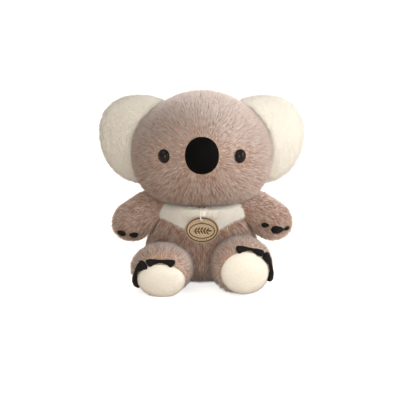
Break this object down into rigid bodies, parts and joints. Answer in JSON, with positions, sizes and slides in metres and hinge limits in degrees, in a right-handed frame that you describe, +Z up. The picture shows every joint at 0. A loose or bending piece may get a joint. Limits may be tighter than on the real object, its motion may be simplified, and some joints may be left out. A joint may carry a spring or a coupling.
{
  "type": "plush koala",
  "caption": "Seated plush koala with a big round head, pale ears and soles, black nose and claws, glossy eyes, a pale bib and an oval card tag on a string.",
  "frame": {"origin": "middle of the body's flat seat, on the surface that the toy sits on", "axes": "+Z up, the face towards -Y, +X towards the viewer's right as the toy faces the viewer"},
  "size_m": [0.2378, 0.1588, 0.2201],
  "materials": {
    "taupe_pile": "long soft pile",
    "cream_pile": "short dense pile",
    "black_cloth": "smooth padded cloth",
    "nose_plastic": "fine matte grain",
    "eye_plastic": "polished dome",
    "washer_plastic": "moulded",
    "stuffing": "loose fibre",
    "bag_cloth": "plain weave",
    "card": "uncoated brown card",
    "cotton": "twisted string"
  },
  "bodies": {
    "torso": {"torso_cover": "taupe_pile", "torso_filling": "stuffing", "pellet_bag": "bag_cloth", "chest_bib": "cream_pile"},
    "head": {"head_cover": "taupe_pile", "head_filling": "stuffing", "nose": "nose_plastic", "nose_washer": "washer_plastic", "eye_left": "eye_plastic", "eye_washer_left": "washer_plastic", "eye_right": "eye_plastic", "eye_washer_right": "washer_plastic"},
    "ear_left": {"ear_left_cover": "cream_pile", "ear_left_filling": "stuffing"},
    "ear_right": {"ear_right_cover": "cream_pile", "ear_right_filling": "stuffing"},
    "arm_left": {"arm_left_cover": "taupe_pile", "arm_left_filling": "stuffing", "hand_claw_left_1": "black_cloth", "hand_claw_left_2": "black_cloth", "hand_claw_left_3": "black_cloth"},
    "arm_right": {"arm_right_cover": "taupe_pile", "arm_right_filling": "stuffing", "hand_claw_right_1": "black_cloth", "hand_claw_right_2": "black_cloth", "hand_claw_right_3": "black_cloth"},
    "leg_left": {"leg_left_cover": "taupe_pile", "leg_left_filling": "stuffing", "foot_pad_left": "cream_pile", "toe_claws_left_top": "black_cloth", "toe_claws_left_side": "black_cloth"},
    "leg_right": {"leg_right_cover": "taupe_pile", "leg_right_filling": "stuffing", "foot_pad_right": "cream_pile", "toe_claws_right_top": "black_cloth", "toe_claws_right_side": "black_cloth"},
    "tag": {"hang_tag": "card", "tag_string": "cotton"}
  },
  "joints": [
    {"name": "head_turn", "type": "hinge", "parent": "torso", "child": "head", "pos_m": [0, 0, 0.0775], "axis": [0, 0, 1], "range_deg": [-25, 25], "stiffness_Nm_per_rad": 0.6},
    {"name": "ear_left_fold", "type": "hinge", "parent": "head", "child": "ear_left", "pos_m": [-0.066, 0.019, 0.16106], "axis": [0, 0, 1], "range_deg": [-10, 10], "stiffness_Nm_per_rad": 0.1},
    {"name": "ear_right_fold", "type": "hinge", "parent": "head", "child": "ear_right", "pos_m": [0.066, 0.019, 0.16106], "axis": [0, 0, 1], "range_deg": [-10, 10], "stiffness_Nm_per_rad": 0.1},
    {"name": "arm_left_raise", "type": "hinge", "parent": "torso", "child": "arm_left", "pos_m": [-0.051, 0.003, 0.084], "axis": [0, 1, 0], "range_deg": [0, 20], "stiffness_Nm_per_rad": 0.3},
    {"name": "arm_right_raise", "type": "hinge", "parent": "torso", "child": "arm_right", "pos_m": [0.051, 0.003, 0.084], "axis": [0, -1, 0], "range_deg": [0, 20], "stiffness_Nm_per_rad": 0.3},
    {"name": "leg_left_raise", "type": "hinge", "parent": "torso", "child": "leg_left", "pos_m": [-0.041, -0.03, 0.0245], "axis": [-1, 0, 0], "range_deg": [0, 18], "stiffness_Nm_per_rad": 0.8},
    {"name": "leg_right_raise", "type": "hinge", "parent": "torso", "child": "leg_right", "pos_m": [0.041, -0.03, 0.0245], "axis": [-1, 0, 0], "range_deg": [0, 18], "stiffness_Nm_per_rad": 0.8},
    {"name": "tag_swing", "type": "hinge", "parent": "torso", "child": "tag", "pos_m": [0, -0.0364, 0.0951], "axis": [-1, 0, 0], "range_deg": [0, 30]}
  ]
}
